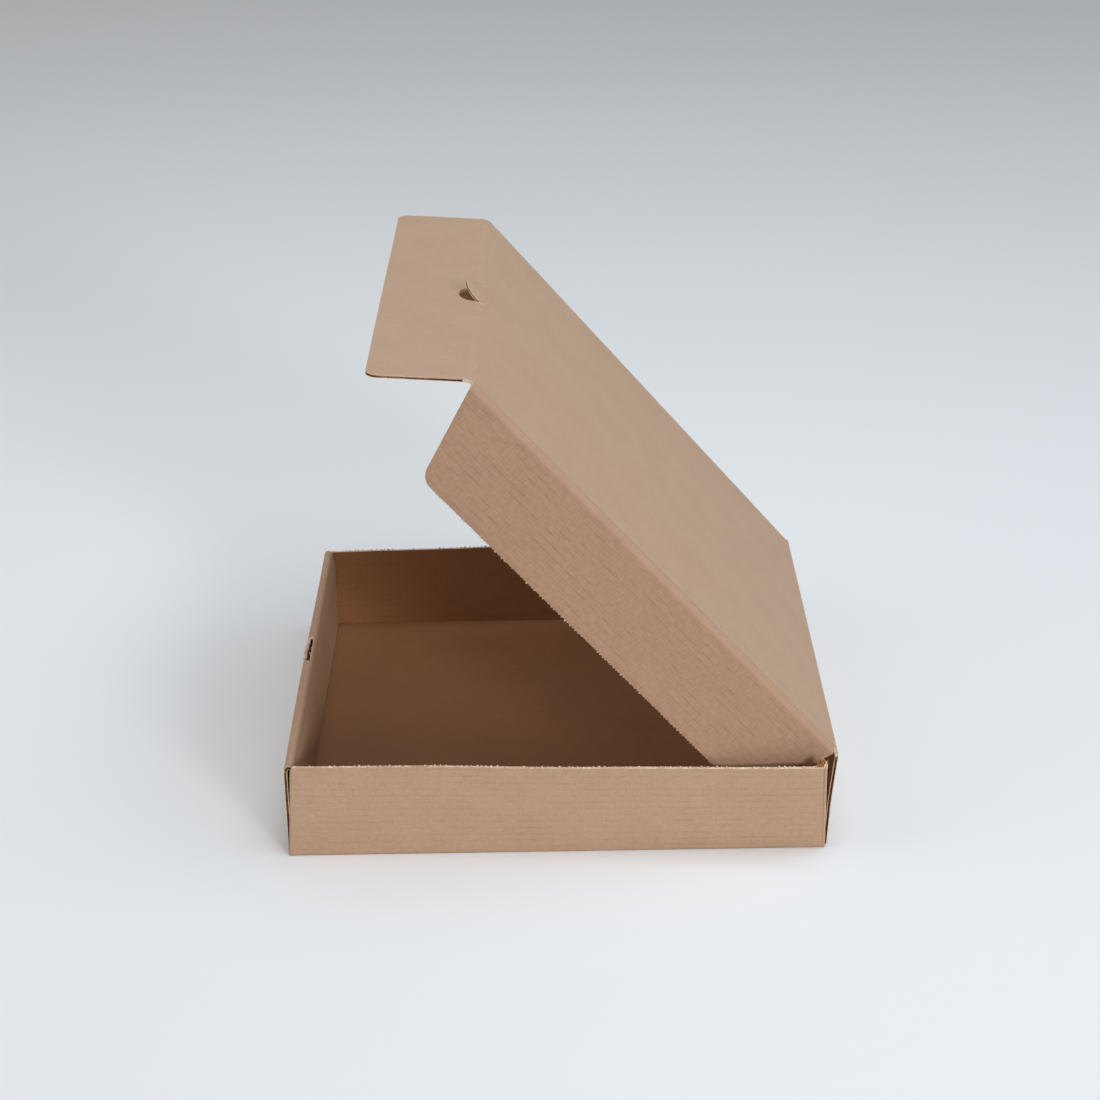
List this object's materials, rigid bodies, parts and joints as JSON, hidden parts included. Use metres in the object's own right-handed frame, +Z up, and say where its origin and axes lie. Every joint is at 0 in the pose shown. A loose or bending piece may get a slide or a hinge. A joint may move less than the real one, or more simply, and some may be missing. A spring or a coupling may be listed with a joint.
{
  "type": "pizza box",
  "caption": "Square brown corrugated pizza box: shallow tray with a roll-over front wall and a hinged lid with a front flap, tuck-in side flaps and a lock tongue, standing half open.",
  "frame": {"origin": "middle of the tray's underside, on the surface it stands on", "axes": "+Z up, the front wall faces -Y, the lid hinges along X at the +Y side"},
  "size_m": [0.2516, 0.2399, 0.2265],
  "materials": {
    "kraft_tray": "matt brown kraft liner with faint flute lines",
    "kraft_lid": "matt brown kraft liner with faint flute lines",
    "kraft_flap": "matt brown kraft liner with flute lines"
  },
  "bodies": {
    "tray": {"tray": "kraft_tray"},
    "lid": {"lid": "kraft_lid"},
    "front_flap": {"front_flap": "kraft_flap"},
    "right_flap": {"right_flap": "kraft_flap"},
    "left_flap": {"left_flap": "kraft_flap"}
  },
  "joints": [
    {"name": "lid_hinge", "type": "hinge", "parent": "tray", "child": "lid", "pos_m": [0, 0.12165, 0.0448], "axis": [-1, 0, 0], "range_deg": [-46.5, 131.3]},
    {"name": "front_flap_fold", "type": "hinge", "parent": "lid", "child": "front_flap", "pos_m": [0, -0.03095, 0.21849], "axis": [1, 0, 0], "range_deg": [-44.5, 65.5]},
    {"name": "right_flap_fold", "type": "hinge", "parent": "lid", "child": "right_flap", "pos_m": [0.1134, 0.12165, 0.0448], "axis": [0, 0.66, -0.7513], "range_deg": [-20, 7.5]},
    {"name": "left_flap_fold", "type": "hinge", "parent": "lid", "child": "left_flap", "pos_m": [-0.1134, 0.12165, 0.0448], "axis": [0, -0.66, 0.7513], "range_deg": [-20, 7.5]}
  ],
  "couplings": [
    {"joint": "right_flap_fold", "follows": "lid_hinge", "ratio": -0.15},
    {"joint": "left_flap_fold", "follows": "lid_hinge", "ratio": -0.15}
  ]
}
